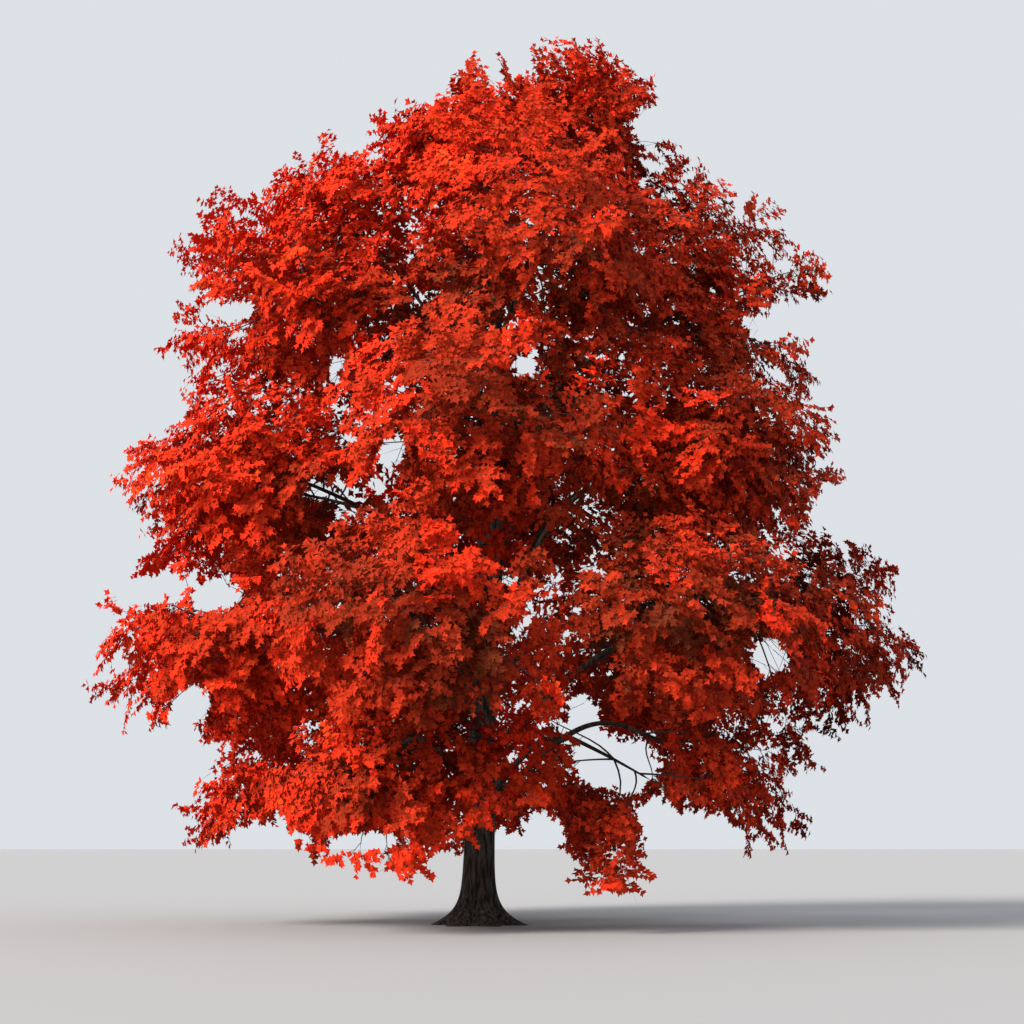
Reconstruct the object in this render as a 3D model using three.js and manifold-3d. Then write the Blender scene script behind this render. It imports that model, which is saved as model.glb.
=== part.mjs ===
// A red maple in full autumn colour that has grown alone in the open. A short bole with a wide
// root flare runs up through the crown, boughs leave it from above head height, and each bough
// carries one mass of foliage. The masses stand in six tiers, from the drooping skirt to the crest.
// Millimetres, +Z up. The origin is the middle of the flat cut at ground level. The crown is widest
// towards +X, and -Y is its front. Azimuths turn from +X towards +Y.
import * as THREE from "three";
import { mergeVertices } from "three/addons/utils/BufferGeometryUtils.js";
import Module from "manifold-3d";

const wasm = await Module();
wasm.setup();

// Pieces that touch keep this gap, and foliage keeps further away from other masses and from limbs.
const GAP = 0.3;
const LEAF_GAP = 12;

// Leaves hang no lower than this above the ground.
const LOWEST_LEAF = 720;

// The trunk: its height and radii, and where its axis stands at some heights.
const TRUNK_TOP = 14500;
const TRUNK_RADIUS = 318;
const TRUNK_TIP_RADIUS = 42;
const TRUNK_TAPER = 0.8;
const TRUNK_SIDES = 20;
const TRUNK_AXIS = [
  { z: 0, x: 0, y: 0 },
  { z: 4600, x: 90, y: 40 },
  { z: 8500, x: 380, y: -60 },
  { z: 12000, x: 330, y: 60 },
  { z: TRUNK_TOP, x: -150, y: 0 },
];
const TRUNK_RINGS = [
  0, 60, 150, 270, 440, 700, 1200, 2100, 3200, 4600, 6400, 8500, 10500, 12600, TRUNK_TOP,
];

// The root flare: ridges that run out along the ground and die away upwards. shift is how far a
// ridge may stand from its even place, as a share of the room between two, and smallest is the
// share of the spread that the weakest one has.
const ROOTS = {
  count: 6,
  spread: 690,
  rise: 250,
  width: THREE.MathUtils.degToRad(21),
  web: 0.3,
  shift: 0.15,
  smallest: 0.7,
};

// A bough: how it is drawn, how far it flares over the first of its length, how thick its tip is
// against its root, and how long it holds its first and last directions. Boughs of a tier leave the
// trunk at heights that step round by the golden section, so that no two neighbours are level.
const BOUGH_SIDES = 5;
const BOUGH_STEPS = 4;
const COLLAR = 0.45;
const COLLAR_SHARE = 0.05;
const BOUGH_TIP_SHARE = 0.5;
const BOUGH_HOLD = 0.38;
const GOLDEN_SECTION = 0.618;

// The tiers of the crown. left and right give the height of the masses' middles and how far their
// tips reach on the two sides. half is half the size of a mass, and tilt is how much it points
// upwards, in degrees. zigzag lifts every other mass. Boughs leave the trunk between leaves.low and
// leaves.high, rising by climb degrees at first and by arrive degrees where they enter the mass.
// droop is how much the sprays hang, and twigs is how many a mass has.
const TIERS = [
  {
    name: "skirt", masses: 6, turn: 10, zigzag: 180, tilt: -22,
    left: { z: 2800, reach: 5650 }, right: { z: 3100, reach: 6250 },
    half: { out: 1950, side: 2700, up: 1350 },
    leaves: { low: 2250, high: 3000 }, climb: 30, arrive: -20, radius: 82, droop: 0.6, twigs: 4,
  },
  {
    name: "broad", masses: 7, turn: 2, zigzag: 0, tilt: -1,
    left: { z: 5450, reach: 7650 }, right: { z: 5700, reach: 8650 },
    half: { out: 2700, side: 2550, up: 1900 },
    leaves: { low: 3150, high: 4900 }, climb: 40, arrive: 5, radius: 104, droop: 0.55, twigs: 6,
  },
  {
    name: "middle", masses: 6, turn: 31, zigzag: 200, tilt: 14,
    left: { z: 8550, reach: 7450 }, right: { z: 9150, reach: 7550 },
    half: { out: 2850, side: 2750, up: 2050 },
    leaves: { low: 5100, high: 6700 }, climb: 52, arrive: 20, radius: 88, droop: 0.55, twigs: 6,
  },
  {
    name: "upper", masses: 5, turn: -1, zigzag: 800, tilt: 26,
    left: { z: 12450, reach: 6700 }, right: { z: 11150, reach: 6950 },
    half: { out: 3000, side: 2400, up: 2400 },
    leaves: { low: 7000, high: 8900 }, climb: 60, arrive: 38, radius: 76, droop: 0.5, twigs: 5,
  },
  {
    name: "shoulder", masses: 4, turn: 12, zigzag: 0, tilt: 40,
    left: { z: 13750, reach: 4650 }, right: { z: 13500, reach: 5650 },
    half: { out: 1950, side: 2200, up: 2000 },
    leaves: { low: 9200, high: 10800 }, climb: 66, arrive: 52, radius: 60, droop: 0.4, twigs: 5,
  },
  {
    name: "crest", masses: 2, turn: 10, zigzag: 100, tilt: 73,
    left: { z: 15700, reach: 2250 }, right: { z: 16200, reach: 3900 },
    half: { out: 1750, side: 2200, up: 2000 },
    leaves: { low: 11500, high: 11500 }, climb: 66, arrive: 70, radius: 50, droop: 0.3, twigs: 6,
  },
];
const SIDES = ["right", "back_right", "back", "back_left", "left", "front_left", "front", "front_right"];

// A mass grows from one stem, which starts and ends at these shares of the way from the middle of
// its space to the inner and outer tips. Twigs leave it one after the other, each turned on by the
// golden angle and leaning less towards the end, and a twig carries two opposite pairs of sprays.
const STEM_SIDES = 3;
const STEM_IN = 0.72;
const STEM_OUT = 0.35;
const STEM_RADIUS = 66;
const STEM_TIP_RADIUS = 44;
const TWIG_SIDES = 3;
const FIRST_TWIG = 0.16;
const LAST_TWIG = 0.9;
const TWIG_LEAN = 72;
const LAST_TWIG_LEAN = 50;
const TWIG_RADIUS = 17;
const TWIG_TIP_RADIUS = 11;
const SHORTEST_TWIG = 0.3;
const GOLDEN_ANGLE = 137.508;
const PAIRS = [{ at: 0.85, lean: 52 }, { at: 0.35, lean: 70 }];
const PAIR_STEP = 0.04;

// A spray is a kite: long in millimetres, the rest in shares of its length. vary is how much longer
// or shorter a twig's sprays may be, and roll how far they may be turned about their midribs. A
// spray at the end of a twig or stem is rooted a little before the end, and one that doesn't fit is
// tried again shorter and turned.
const SPRAY = { long: 2150, wide: 0.49, thick: 0.026, shoulder: 0.5, fold: 0.08, roll: 80, vary: 0.1 };
const END_ROOT = 0.97;
const SPRAY_GAP = 1;
const SPRAY_TRIES = [
  { share: 1, turn: 0 },
  { share: 0.88, turn: 50 },
  { share: 0.88, turn: -50 },
  { share: 0.74, turn: 0 },
  { share: 0.6, turn: 40 },
];

// Foliage may reach this far past the surface of its ellipsoid, at 1. A twig stops short of that
// surface by a share of a spray, and masses whose middles are further apart than NEAR never meet.
const SPACE_EDGE = 1.05;
const TWIG_SHORT = 0.85;
const NEAR = 8000;

// Open sky shows through the crown or bites into its edge in these ellipses, which are measured at
// the trunk's own distance, for someone who stands at EYE.
const EYE = new THREE.Vector3(650, -37300, 1450);
const SKY_GAPS = [
  { x: 2570, z: 3650, halfX: 850, halfZ: 750 },
  { x: 5690, z: 5190, halfX: 450, halfZ: 380 },
  { x: -5800, z: 6500, halfX: 900, halfZ: 250 },
  { x: 4080, z: 1750, halfX: 950, halfZ: 500 },
  { x: -4650, z: 1100, halfX: 1300, halfZ: 500 },
  { x: -6350, z: 3100, halfX: 1150, halfZ: 720 },
  { x: 6950, z: 11100, halfX: 550, halfZ: 750 },
];

// The colours. Foliage darkens from scarlet on the left to crimson on the right: each tint is for the
// masses whose middles lie beyond its x.
const BARK = new THREE.MeshStandardMaterial({ color: 0x3a302a, roughness: 0.95, metalness: 0 });
const TINTS = [
  { beyond: -Infinity, material: leafMaterial("scarlet", 0xdd2f14) },
  { beyond: -1200, material: leafMaterial("red", 0xc8200f) },
  { beyond: 2200, material: leafMaterial("crimson", 0x9c1a0e) },
];

// What each seeded number decides.
const SEED = 40;
const DRAWS = { turn: 1, rootShift: 5, rootSize: 6, length: 40, roll: 60 };
const UP = new THREE.Vector3(0, 0, 1);
const radians = THREE.MathUtils.degToRad;

function leafMaterial(name, color) {
  return new THREE.MeshStandardMaterial({ name, color, roughness: 0.6, metalness: 0 });
}

// The same number from 0 to 1 every time for the same pair of whole numbers.
function draw(seed, n) {
  const wave = Math.sin((seed + SEED) * 311.7 + n * 127.1) * 43758.5453;
  return wave - Math.floor(wave);
}

// A closed three.js geometry as a solid, with its shared vertices merged.
function solidOf(geometry) {
  const bare = geometry.clone();
  bare.deleteAttribute("normal");
  bare.deleteAttribute("uv");
  const merged = mergeVertices(bare, 1e-3);
  return new wasm.Manifold(
    new wasm.Mesh({
      numProp: 3,
      vertProperties: merged.attributes.position.array,
      triVerts: new Uint32Array(merged.index.array),
    }),
  );
}

// A solid as a mesh of the part: its largest body, without loose scraps.
function meshOf(name, solid, material) {
  const bodies = solid.decompose().sort((a, b) => b.volume() - a.volume());
  const made = bodies[0].getMesh();
  const geometry = new THREE.BufferGeometry();
  geometry.setAttribute("position", new THREE.BufferAttribute(made.vertProperties, 3));
  geometry.setIndex(new THREE.BufferAttribute(made.triVerts, 1));
  geometry.computeVertexNormals();
  const mesh = new THREE.Mesh(geometry, material);
  mesh.name = name;
  return mesh;
}

// A limb: a cylinder carried along a curve, with a radius that changes on the way.
function limbSolid(curve, radiusAt, sides, steps) {
  const cylinder = new THREE.CylinderGeometry(1, 1, 1, sides, steps);
  const frames = curve.computeFrenetFrames(steps);
  const place = cylinder.attributes.position;
  const point = new THREE.Vector3();
  for (let i = 0; i < place.count; i++) {
    const along = place.getY(i) + 0.5;
    const ring = Math.round(along * steps);
    const radius = radiusAt(along);
    point
      .copy(curve.getPointAt(along))
      .addScaledVector(frames.normals[ring], radius * place.getX(i))
      .addScaledVector(frames.binormals[ring], -radius * place.getZ(i));
    place.setXYZ(i, point.x, point.y, point.z);
  }
  return solidOf(cylinder);
}

// The trunk's axis at a height, smoothly through the stations.
function trunkAxis(z) {
  const above = TRUNK_AXIS.findIndex((station) => station.z > z);
  const next = above < 0 ? TRUNK_AXIS.length - 1 : above;
  const from = TRUNK_AXIS[next - 1];
  const to = TRUNK_AXIS[next];
  const share = THREE.MathUtils.smoothstep(z, from.z, to.z);
  return new THREE.Vector3(
    THREE.MathUtils.lerp(from.x, to.x, share),
    THREE.MathUtils.lerp(from.y, to.y, share),
    z,
  );
}

// The trunk's radius at a height and an angle, with the root ridges at its foot.
function trunkRadius(z, angle) {
  const left = 1 - z / TRUNK_TOP;
  const bole = TRUNK_TIP_RADIUS + (TRUNK_RADIUS - TRUNK_TIP_RADIUS) * left ** TRUNK_TAPER;
  let ridge = 0;
  for (let root = 0; root < ROOTS.count; root++) {
    const shift = ROOTS.shift * THREE.MathUtils.lerp(-1, 1, draw(DRAWS.rootShift, root));
    const runs = ((root + shift) * 2 * Math.PI) / ROOTS.count;
    const apart = Math.atan2(Math.sin(angle - runs), Math.cos(angle - runs));
    const size = THREE.MathUtils.lerp(ROOTS.smallest, 1, draw(DRAWS.rootSize, root));
    ridge += size * Math.exp(-((apart / ROOTS.width) ** 2));
  }
  return bole + ROOTS.spread * Math.exp(-z / ROOTS.rise) * (ROOTS.web + (1 - ROOTS.web) * ridge);
}

// The trunk is stacked from level rings. extra widens it, to cut what grows out of it.
function trunkSolid(extra = 0) {
  const steps = TRUNK_RINGS.length - 1;
  const cylinder = new THREE.CylinderGeometry(1, 1, 1, TRUNK_SIDES, steps);
  const place = cylinder.attributes.position;
  for (let i = 0; i < place.count; i++) {
    const z = TRUNK_RINGS[Math.round((place.getY(i) + 0.5) * steps)];
    const across = Math.hypot(place.getX(i), place.getZ(i));
    const angle = Math.atan2(-place.getZ(i), place.getX(i));
    const radius = across < 0.5 ? 0 : trunkRadius(z, angle) + extra;
    const axis = trunkAxis(z);
    place.setXYZ(i, axis.x + radius * Math.cos(angle), axis.y + radius * Math.sin(angle), z);
  }
  return solidOf(cylinder);
}

// A unit vector on an azimuth, raised by an elevation, both in radians.
function heading(azimuth, elevation) {
  return new THREE.Vector3(
    Math.cos(azimuth) * Math.cos(elevation),
    Math.sin(azimuth) * Math.cos(elevation),
    Math.sin(elevation),
  );
}

// The space of every mass: an ellipsoid with its middle, its three directions and its half sizes.
function massSpaces() {
  const spaces = [];
  for (const tier of TIERS) {
    for (let k = 0; k < tier.masses; k++) {
      const azimuth = radians(tier.turn + (360 * k) / tier.masses);
      const rightness = 0.5 + 0.5 * Math.cos(azimuth);
      const reach = THREE.MathUtils.lerp(tier.left.reach, tier.right.reach, rightness);
      const lift = k % 2 ? -tier.zigzag : tier.zigzag;
      const z = THREE.MathUtils.lerp(tier.left.z, tier.right.z, rightness) + lift;
      const out = heading(azimuth, radians(tier.tilt));
      const side = heading(azimuth + Math.PI / 2, 0);
      spaces.push({
        name: `${tier.name}_${SIDES[Math.round(azimuth / (Math.PI / 4)) % SIDES.length]}`,
        tier,
        azimuth,
        rank: k,
        seed: spaces.length + 1,
        half: tier.half,
        middle: heading(azimuth, 0).multiplyScalar(reach - tier.half.out).setZ(z),
        out,
        side,
        up: new THREE.Vector3().crossVectors(out, side),
      });
    }
  }
  return spaces;
}

// Where a point lies in a space, with the surface at length 1.
function withinSpace(space, point) {
  const from = point.clone().sub(space.middle);
  return new THREE.Vector3(
    from.dot(space.out) / space.half.out,
    from.dot(space.side) / space.half.side,
    from.dot(space.up) / space.half.up,
  );
}

// How far a ray runs before it leaves the space.
function roomAlong(space, start, direction) {
  const from = withinSpace(space, start);
  const step = withinSpace(space, direction.clone().add(space.middle));
  const a = step.lengthSq();
  const b = from.dot(step);
  const c = from.lengthSq() - 1;
  return c > 0 ? 0 : (-b + Math.sqrt(b * b - a * c)) / a;
}

// How far into its own share of the crown a point lies, against another mass: planes between the
// middles part the spaces, nearer to the smaller one.
function shareOver(space, other, point) {
  const size = (s) => s.half.out * s.half.side;
  const between = other.middle.clone().sub(space.middle);
  const apart = between.length();
  const border = (apart * apart + size(space) - size(other)) / (2 * apart);
  return border - point.clone().sub(space.middle).dot(between) / apart;
}

// Whether a point lies where the sky shows through.
function opensToSky(point) {
  const share = EYE.y / (EYE.y - point.y);
  const x = EYE.x + (point.x - EYE.x) * share;
  const z = EYE.z + (point.z - EYE.z) * share;
  return SKY_GAPS.some((gap) => Math.hypot((x - gap.x) / gap.halfX, (z - gap.z) / gap.halfZ) < 1);
}

// A bough's curve from inside its parent to the place where it enters its mass.
function boughCurve(space) {
  const { tier, azimuth, rank } = space;
  const share = (rank * GOLDEN_SECTION) % 1;
  const start = trunkAxis(THREE.MathUtils.lerp(tier.leaves.low, tier.leaves.high, share));
  const end = space.middle.clone().addScaledVector(space.out, -STEM_IN * space.half.out);
  const hold = BOUGH_HOLD * start.distanceTo(end);
  const towards = Math.atan2(end.y - start.y, end.x - start.x);
  return new THREE.CubicBezierCurve3(
    start,
    start.clone().addScaledVector(heading(towards, radians(tier.climb)), hold),
    end.clone().addScaledVector(heading(azimuth, radians(tier.arrive)), -hold),
    end,
  );
}

// A bough's radius at a share of its length.
function boughRadius(space, along) {
  const collar = 1 + COLLAR * Math.exp(-along / COLLAR_SHARE);
  return space.tier.radius * THREE.MathUtils.lerp(1, BOUGH_TIP_SHARE, along) * collar;
}

// A mass's stem runs from 0.3 mm past the tip of its bough to well inside the mass, and its foot is
// square to the bough.
function stemCurve(space, from, direction) {
  const foot = from.clone().addScaledVector(direction, GAP);
  const tip = space.middle.clone().addScaledVector(space.out, STEM_OUT * space.half.out);
  const bend = foot.clone().addScaledVector(direction, 0.5 * foot.distanceTo(tip));
  return new THREE.QuadraticBezierCurve3(foot, bend, tip);
}

// One spray: a thin kite of eight faces, folded down on both sides of its midrib, that starts at
// its root. roll turns it about its midrib.
function spraySolid(root, direction, roll, length) {
  const level = new THREE.Vector3().crossVectors(UP, direction).normalize();
  const side = level.applyAxisAngle(direction, roll);
  const top = new THREE.Vector3().crossVectors(direction, side);
  const at = (along, across, high) =>
    root
      .clone()
      .addScaledVector(direction, along * length)
      .addScaledVector(side, across * length)
      .addScaledVector(top, high * length);
  const ends = { "1": at(1, 0, -SPRAY.fold), "-1": at(0, 0, 0) };
  const shoulders = {
    "1": at(SPRAY.shoulder, SPRAY.wide, -SPRAY.fold),
    "-1": at(SPRAY.shoulder, -SPRAY.wide, -SPRAY.fold),
  };
  const midrib = {
    "1": at(SPRAY.shoulder, 0, SPRAY.thick / 2),
    "-1": at(SPRAY.shoulder, 0, -SPRAY.thick / 2),
  };
  const octahedron = new THREE.OctahedronGeometry(1);
  const place = octahedron.attributes.position;
  for (let i = 0; i < place.count; i++) {
    const [x, y, z] = [place.getX(i), place.getY(i), place.getZ(i)].map(Math.round);
    const corner = ends[x] ?? shoulders[y] ?? midrib[z];
    place.setXYZ(i, corner.x, corner.y, corner.z);
  }
  const corners = [ends["1"], shoulders["1"], shoulders["-1"]];
  return { solid: solidOf(octahedron), corners };
}

// One mass of foliage, as it grows: what is placed so far, and whether a new piece has room.
class Mass {
  constructor(space, spaces, limbs) {
    this.space = space;
    this.near = spaces.filter((other) => other !== space && other.middle.distanceTo(space.middle) < NEAR);
    this.limbs = limbs;
    this.pieces = [];
    this.sprays = [];
  }

  // Whether a point lies in this mass's own space.
  holds(point) {
    return (
      point.z > LOWEST_LEAF &&
      withinSpace(this.space, point).length() < SPACE_EDGE &&
      this.near.every((other) => shareOver(this.space, other, point) > LEAF_GAP)
    );
  }

  // Whether a solid keeps a gap from each of the others.
  clears(solid, others, gap) {
    return others.every((other) => other.minGap(solid, gap) >= gap);
  }

  // A spray that starts at root, where it fits.
  addSpray(root, direction, roll, length) {
    for (const { share, turn } of SPRAY_TRIES) {
      const { solid, corners } = spraySolid(root, direction, roll + radians(turn), length * share);
      const middle = root.clone().lerp(corners[0], 0.5);
      const fits =
        corners.every((corner) => this.holds(corner)) &&
        ![middle, ...corners].some(opensToSky) &&
        this.clears(solid, this.limbs, LEAF_GAP) &&
        this.clears(solid, this.sprays, SPRAY_GAP);
      if (fits) {
        this.pieces.push(solid);
        this.sprays.push(solid);
        return;
      }
    }
  }

  // A level spray hangs by its tier's droop, and an upright one stands.
  hang(heads) {
    const level = Math.hypot(heads.x, heads.y);
    return heads.clone().addScaledVector(UP, -this.space.tier.droop * level).normalize();
  }

  // How far the sprays of a twig are turned about their midribs.
  rollOf(k) {
    return radians(SPRAY.roll) * THREE.MathUtils.lerp(-1, 1, draw(this.space.seed, DRAWS.roll + k));
  }

  // A twig with a spray at its end and two opposite pairs, crosswise, on the way.
  addTwig(at, heads, k) {
    const { seed } = this.space;
    const varied = THREE.MathUtils.lerp(-1, 1, draw(seed, DRAWS.length + k));
    const length = SPRAY.long * (1 + SPRAY.vary * varied);
    const room = roomAlong(this.space, at, heads);
    const reach = Math.max(SHORTEST_TWIG * room, room - TWIG_SHORT * length);
    const end = at.clone().addScaledVector(heads, reach);
    const radiusAt = (along) => THREE.MathUtils.lerp(TWIG_RADIUS, TWIG_TIP_RADIUS, along);
    const twig = limbSolid(new THREE.LineCurve3(at, end), radiusAt, TWIG_SIDES, 1);
    const fits =
      this.holds(end) &&
      this.clears(twig, this.limbs, LEAF_GAP) &&
      this.clears(twig, this.sprays, SPRAY_GAP);
    if (!fits) {
      return;
    }
    this.pieces.push(twig);
    const roll = this.rollOf(k);
    this.addSpray(at.clone().lerp(end, END_ROOT), this.hang(heads), roll, length);
    const side = new THREE.Vector3().crossVectors(UP, heads).normalize();
    side.applyAxisAngle(heads, roll / 2);
    for (const { at: share, lean } of PAIRS) {
      for (const hand of [1, -1]) {
        const turned = heads
          .clone()
          .multiplyScalar(Math.cos(radians(lean)))
          .addScaledVector(side, hand * Math.sin(radians(lean)));
        this.addSpray(at.clone().lerp(end, share + PAIR_STEP * hand), this.hang(turned), roll, length);
      }
      side.applyAxisAngle(heads, Math.PI / 2);
    }
  }

  // The stem with its leader spray, then the twigs from the inside outwards, joined into one solid.
  grow(from, direction) {
    const { space } = this;
    const stem = stemCurve(space, from, direction);
    const onStem = (along) => stem.v0.clone().lerp(stem.v2, along);
    const radiusAt = (along) => THREE.MathUtils.lerp(STEM_RADIUS, STEM_TIP_RADIUS, along);
    this.pieces.push(limbSolid(stem, radiusAt, STEM_SIDES, 1));
    const leader = onStem(END_ROOT);
    this.addSpray(leader, space.out, this.rollOf(space.tier.twigs), roomAlong(space, leader, space.out));
    const firstTurn = 360 * draw(space.seed, DRAWS.turn);
    for (let k = 0; k < space.tier.twigs; k++) {
      const along = THREE.MathUtils.lerp(FIRST_TWIG, LAST_TWIG, k / (space.tier.twigs - 1));
      const turn = radians(firstTurn + GOLDEN_ANGLE * k);
      const lean = radians(THREE.MathUtils.lerp(TWIG_LEAN, LAST_TWIG_LEAN, along));
      const { out, side, up } = space.half;
      const heads = space.out
        .clone()
        .multiplyScalar(Math.cos(lean))
        .addScaledVector(space.side, (side / out) * Math.sin(lean) * Math.cos(turn))
        .addScaledVector(space.up, (up / out) * Math.sin(lean) * Math.sin(turn))
        .normalize();
      this.addTwig(onStem(along), heads, k);
    }
    return wasm.Manifold.union(this.pieces);
  }
}

const maple = new THREE.Group();
const spaces = massSpaces();
const trunk = trunkSolid();
const trunkCutter = trunkSolid(GAP);
maple.add(meshOf("trunk", trunk, BARK));

const limbs = [trunk];
const joins = new Map();
for (const space of spaces) {
  if (space.name === "crest_left") {
    joins.set(space, { from: trunkAxis(TRUNK_TOP), direction: UP.clone() });
    continue;
  }
  const curve = boughCurve(space);
  const tube = limbSolid(curve, (along) => boughRadius(space, along), BOUGH_SIDES, BOUGH_STEPS);
  const bough = tube.subtract(trunkCutter);
  limbs.push(bough);
  joins.set(space, { from: curve.getPointAt(1), direction: curve.getTangentAt(1) });
  maple.add(meshOf(`bough_${space.name}`, bough, BARK));
}
for (const space of spaces) {
  const { from, direction } = joins.get(space);
  const tint = TINTS.findLast(({ beyond }) => space.middle.x > beyond);
  const foliage = new Mass(space, spaces, limbs).grow(from, direction);
  maple.add(meshOf(`leaves_${space.name}`, foliage, tint.material));
}

export default maple;
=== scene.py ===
# %% [markdown]
# A red maple in autumn. This lesson dresses the plain solids of a whole tree: the trunk and boughs
# get bark with real relief, and the masses of foliage become twigs with about a quarter of a million
# leaves. The tree's frame comes first, because every new piece is fitted to it.

# %% Load the frame
import math

import bpy
import numpy as np
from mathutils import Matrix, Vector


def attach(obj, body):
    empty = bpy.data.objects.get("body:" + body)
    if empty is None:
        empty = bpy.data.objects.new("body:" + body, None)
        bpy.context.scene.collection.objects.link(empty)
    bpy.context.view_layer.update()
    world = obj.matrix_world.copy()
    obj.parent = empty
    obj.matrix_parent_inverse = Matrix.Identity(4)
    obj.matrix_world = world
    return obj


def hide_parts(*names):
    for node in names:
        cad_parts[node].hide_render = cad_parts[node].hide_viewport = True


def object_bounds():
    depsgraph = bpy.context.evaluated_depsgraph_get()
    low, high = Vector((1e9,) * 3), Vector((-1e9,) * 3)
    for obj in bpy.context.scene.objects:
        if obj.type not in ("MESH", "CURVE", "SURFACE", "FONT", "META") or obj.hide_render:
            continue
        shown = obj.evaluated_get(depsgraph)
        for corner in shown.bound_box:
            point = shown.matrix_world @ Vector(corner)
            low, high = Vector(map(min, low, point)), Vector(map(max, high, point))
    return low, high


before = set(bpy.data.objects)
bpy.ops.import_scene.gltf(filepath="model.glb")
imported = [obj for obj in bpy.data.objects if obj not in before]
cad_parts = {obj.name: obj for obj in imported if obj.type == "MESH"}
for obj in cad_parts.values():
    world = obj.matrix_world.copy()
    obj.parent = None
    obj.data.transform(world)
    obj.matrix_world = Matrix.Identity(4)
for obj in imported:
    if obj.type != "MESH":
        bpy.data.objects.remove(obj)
solid_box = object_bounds()
print("solids", len(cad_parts), "height", round(solid_box[1].z, 2), "m")

# %% [markdown]
# The camera stands where the photographer stood: 37 m in front of the tree, with the eye 1.45 m
# above the ground, looking up by ten degrees. The lens and the tilt follow from where the horizon
# and the trunk's foot lie in the photo, so the camera needs no shift.

# %% Camera
EYE = np.array([0.653, -37.3, 1.452])
LENS = 66.8
SENSOR = 36
LOOKS_UP = 10.03
SEES_AS_FAR_AS = 4000

scene = bpy.context.scene


def placed(name, data):
    """A new object in the scene."""
    made = bpy.data.objects.new(name, data)
    scene.collection.objects.link(made)
    return made


camera = placed("camera", bpy.data.cameras.new("camera"))
camera.location = EYE
camera.rotation_euler = (math.radians(90 + LOOKS_UP), 0, 0)
camera.data.lens = LENS
camera.data.sensor_width = SENSOR
camera.data.clip_end = SEES_AS_FAR_AS
scene.camera = camera
print("camera", EYE, "lens", LENS, "mm")

# %% [markdown]
# A plain pale floor and backdrop let the tree's outline stand clear. One soft sun lamp shines from
# high on the left, so the left of each mass glows and the right falls into shade. The backdrop
# shines a little more than the camera sees of it, which opens the shade. The colours are shown
# without film toning, because toning would wash out the reds.

# %% Floor and light
FLOOR_HALF = 2500
FLOOR_COLOUR = (0.33, 0.33, 0.345, 1)
FLOOR_ROUGHNESS = 0.9
SKY_COLOUR = (0.86, 0.90, 0.95, 1)
SKY_SHINES = 0.90
SKY_SEEN = 0.84
SUN_FROM = (-0.63, -0.56, 0.54)
SUN_POWER = 6.0
SUN_COLOUR = (1.0, 0.93, 0.82)
SUN_SOFTNESS = 22
LAMP_AWAY = 40


def plain_material(name, colour, roughness):
    """A Principled material with one colour and one roughness."""
    material = bpy.data.materials.new(name)
    material.use_nodes = True
    shader = material.node_tree.nodes["Principled BSDF"]
    shader.inputs["Base Color"].default_value = colour
    shader.inputs["Roughness"].default_value = roughness
    return material


key = placed("key", bpy.data.lights.new("key", "SUN"))
key.data.energy = SUN_POWER
key.data.color = SUN_COLOUR
key.data.angle = math.radians(SUN_SOFTNESS)
key.location = np.array(SUN_FROM) * LAMP_AWAY
key.rotation_euler = key.location.to_track_quat("Z", "Y").to_euler()

floor_mesh = bpy.data.meshes.new("floor")
corners = [(x * FLOOR_HALF, y * FLOOR_HALF, 0) for x, y in ((-1, -1), (1, -1), (1, 1), (-1, 1))]
floor_mesh.from_pydata(corners, [], [(0, 1, 2, 3)])
floor_mesh.materials.append(plain_material("pale_floor", FLOOR_COLOUR, FLOOR_ROUGHNESS))
floor = placed("floor", floor_mesh)

world = bpy.data.worlds.new("pale_sky")
world.use_nodes = True
sky = world.node_tree
sky.nodes["Background"].inputs["Color"].default_value = SKY_COLOUR
seen = sky.nodes.new("ShaderNodeLightPath").outputs["Is Camera Ray"]
strength = sky.nodes.new("ShaderNodeMapRange")
strength.inputs["To Min"].default_value = SKY_SHINES
strength.inputs["To Max"].default_value = SKY_SEEN
sky.links.new(seen, strength.inputs["Value"])
sky.links.new(strength.outputs["Result"], sky.nodes["Background"].inputs["Strength"])
scene.world = world
scene.view_settings.view_transform = "Standard"
print("key light", key.data.energy, "sky", SKY_SHINES)

# %% [markdown]
# The tree is drawn by a rule, not by hand, and these are the rule's numbers. They repeat what the
# solids were made from, in metres, so that the leaves land where the solids say. A mass of foliage
# keeps to an egg-shaped space, and the spaces stand in six tiers round the trunk.

# %% The numbers of the rule
TRUNK_TOP = 14.5
TRUNK_RADIUS = 0.318
TRUNK_TIP_RADIUS = 0.042
TRUNK_TAPER = 0.8
TRUNK_AXIS = np.array([(0, 0, 0), (0.09, 0.04, 4.6), (0.38, -0.06, 8.5), (0.33, 0.06, 12),
                       (-0.15, 0, 14.5)])
ROOTS = {"count": 6, "spread": 0.69, "rise": 0.25, "width": math.radians(21), "web": 0.3,
         "shift": 0.15, "smallest": 0.7}
COLLAR = 0.45
COLLAR_SHARE = 0.05
BOUGH_TIP_SHARE = 0.5
BOUGH_HOLD = 0.38
GOLDEN_SECTION = 0.618
GOLDEN_ANGLE = 137.508
STEM_IN = 0.72
STEM_OUT = 0.35
FIRST_TWIG, LAST_TWIG = 0.16, 0.9
TWIG_LEAN, LAST_TWIG_LEAN = 72, 50
SHORTEST_TWIG = 0.3
TWIG_SHORT = 0.7
LOWEST_LEAF = 0.72
NEAR = 8.0
UP = np.array([0.0, 0.0, 1.0])
SEED = 40
DRAWS = {"turn": 1, "root_shift": 5, "root_size": 6, "length": 40, "roll": 60}
DRAW_STEPS = (311.7, 127.1)
DRAW_HEIGHT = 43758.5453

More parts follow.
